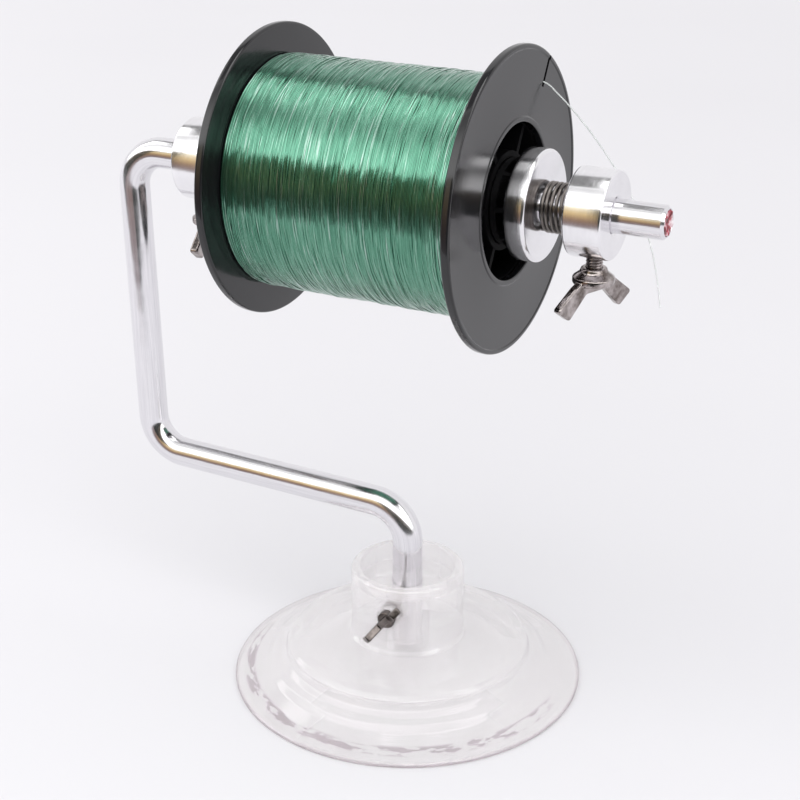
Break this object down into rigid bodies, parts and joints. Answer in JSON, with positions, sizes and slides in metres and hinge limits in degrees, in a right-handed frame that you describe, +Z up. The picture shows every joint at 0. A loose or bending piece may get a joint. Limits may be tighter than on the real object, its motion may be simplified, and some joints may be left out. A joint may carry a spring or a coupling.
{
  "type": "fishing line winding stand",
  "caption": "Bent-rod stand on a clear suction cup that holds a spool of fishing line between sprung conical bushes and locking collars so that the line can be wound off under drag.",
  "frame": {"origin": "centre of the footprint, on the surface that the suction cup stands on", "axes": "+Z up; +X along the axle, towards the rod's open end; +Y completes the right-handed frame"},
  "size_m": [0.1518, 0.0938, 0.1717],
  "materials": {
    "clear_pvc": "soft clear PVC, slightly milky",
    "aluminium": "turned and polished",
    "nickel": "nickel plate, slightly dull",
    "spring_steel": "bare drawn wire",
    "black_plastic": "glossy moulding",
    "green_line": "translucent nylon monofilament, closely wound",
    "line_end": "one strand of translucent nylon",
    "red_rubber": "matt plug, roughly cut"
  },
  "bodies": {
    "base": {"suction_cup": "clear_pvc", "base_nut": "nickel"},
    "base_stud": {"base_screw_stud": "nickel"},
    "base_head": {"base_wing_head": "nickel"},
    "arm": {"arm_rod": "aluminium", "rod_end_plug": "red_rubber"},
    "spool": {"left_flange": "black_plastic", "right_flange": "black_plastic", "spool_barrel": "black_plastic", "line_pack": "green_line", "line_tail": "line_end"},
    "left_bush": {"left_bush": "aluminium"},
    "right_bush": {"right_bush": "aluminium"},
    "left_collar": {"left_collar": "aluminium", "left_spring": "spring_steel"},
    "right_collar": {"right_collar": "aluminium", "right_spring": "spring_steel"},
    "left_stud": {"left_screw_stud": "nickel"},
    "left_head": {"left_wing_head": "nickel"},
    "right_stud": {"right_screw_stud": "nickel"},
    "right_head": {"right_wing_head": "nickel"}
  },
  "joints": [
    {"name": "arm_swivel", "type": "hinge", "parent": "base", "child": "arm", "pos_m": [0.0099, 0, 0.027], "axis": [0, 0, 1], "continuous": true},
    {"name": "spool_spin", "type": "hinge", "parent": "arm", "child": "spool", "pos_m": [0.00528, 0, 0.13525], "axis": [1, 0, 0], "continuous": true},
    {"name": "left_bush_press", "type": "slide", "parent": "spool", "child": "left_bush", "axis": [-1, 0, 0], "range_m": [0, 0.001], "stiffness_N_per_m": 1500, "springref_m": -0.003, "deforming": ["left_spring"]},
    {"name": "left_collar_slide", "type": "slide", "parent": "arm", "child": "left_collar", "axis": [-1, 0, 0], "range_m": [0, 0.006]},
    {"name": "left_screw_feed", "type": "slide", "parent": "left_collar", "child": "left_stud", "axis": [0, 0, -1], "range_m": [0, 0.00158]},
    {"name": "left_screw_turn", "type": "hinge", "parent": "left_stud", "child": "left_head", "pos_m": [-0.0479, 0, 0.1248], "axis": [0, 0, -1], "range_deg": [0, 810]},
    {"name": "right_bush_press", "type": "slide", "parent": "spool", "child": "right_bush", "axis": [1, 0, 0], "range_m": [0, 0.001], "stiffness_N_per_m": 1500, "springref_m": -0.003, "deforming": ["right_spring"]},
    {"name": "right_collar_slide", "type": "slide", "parent": "arm", "child": "right_collar", "axis": [1, 0, 0], "range_m": [0, 0.012]},
    {"name": "right_screw_feed", "type": "slide", "parent": "right_collar", "child": "right_stud", "axis": [0, 0, -1], "range_m": [0, 0.00158]},
    {"name": "right_screw_turn", "type": "hinge", "parent": "right_stud", "child": "right_head", "pos_m": [0.05846, 0, 0.1248], "axis": [0, 0, -1], "range_deg": [0, 810]},
    {"name": "base_screw_feed", "type": "slide", "parent": "base", "child": "base_stud", "axis": [0.1045, -0.9945, 0], "range_m": [0, 0.00112]},
    {"name": "base_screw_turn", "type": "hinge", "parent": "base_stud", "child": "base_head", "pos_m": [0.01116, -0.01203, 0.0231], "axis": [0.1045, -0.9945, 0], "range_deg": [0, 810]}
  ],
  "couplings": [
    {"joint": "left_screw_turn", "follows": "left_screw_feed", "rad_per_m": 8976},
    {"joint": "right_screw_turn", "follows": "right_screw_feed", "rad_per_m": 8976},
    {"joint": "base_screw_turn", "follows": "base_screw_feed", "rad_per_m": 12566}
  ]
}
